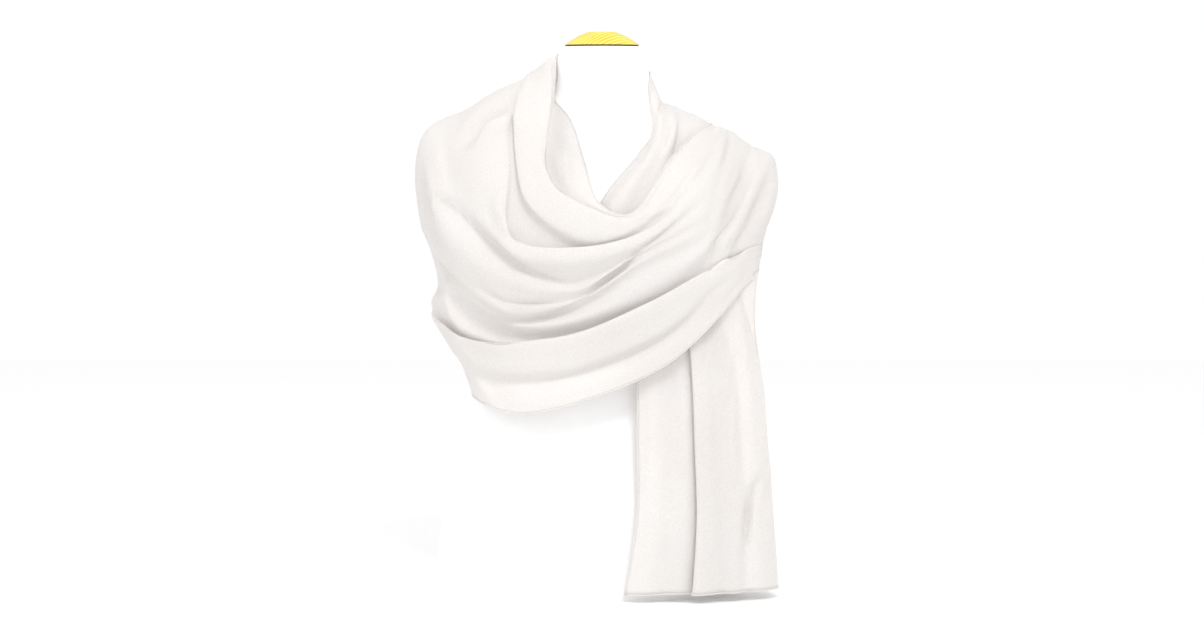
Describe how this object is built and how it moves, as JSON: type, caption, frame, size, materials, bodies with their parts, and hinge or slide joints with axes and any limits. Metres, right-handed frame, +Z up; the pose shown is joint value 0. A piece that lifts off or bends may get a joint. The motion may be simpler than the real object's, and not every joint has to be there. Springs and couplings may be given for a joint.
{
  "type": "chiffon scarf on a dress form",
  "caption": "Long sheer scarf draped over both shoulders of a limbless dress form, folded across the chest, one end hanging in front and one behind",
  "frame": {"origin": "centre of the dress form's flat base, where it stands", "axes": "+Z up along the form, -Y the front, +X the shoulder from which both ends of the scarf hang"},
  "size_m": [0.4353, 0.3098, 0.6596],
  "materials": {
    "chiffon": "sheer matte ivory chiffon with a fine crepe weave",
    "form": "smooth satin white",
    "cap": "clear-varnished yellow wood with a diagonal grain"
  },
  "bodies": {
    "root": {"dress_form": "form", "neck_cap": "cap", "scarf_front_end": "chiffon", "scarf_behind_neck": "chiffon", "scarf_chest_wrap": "chiffon", "scarf_back_end": "chiffon"}
  },
  "joints": []
}
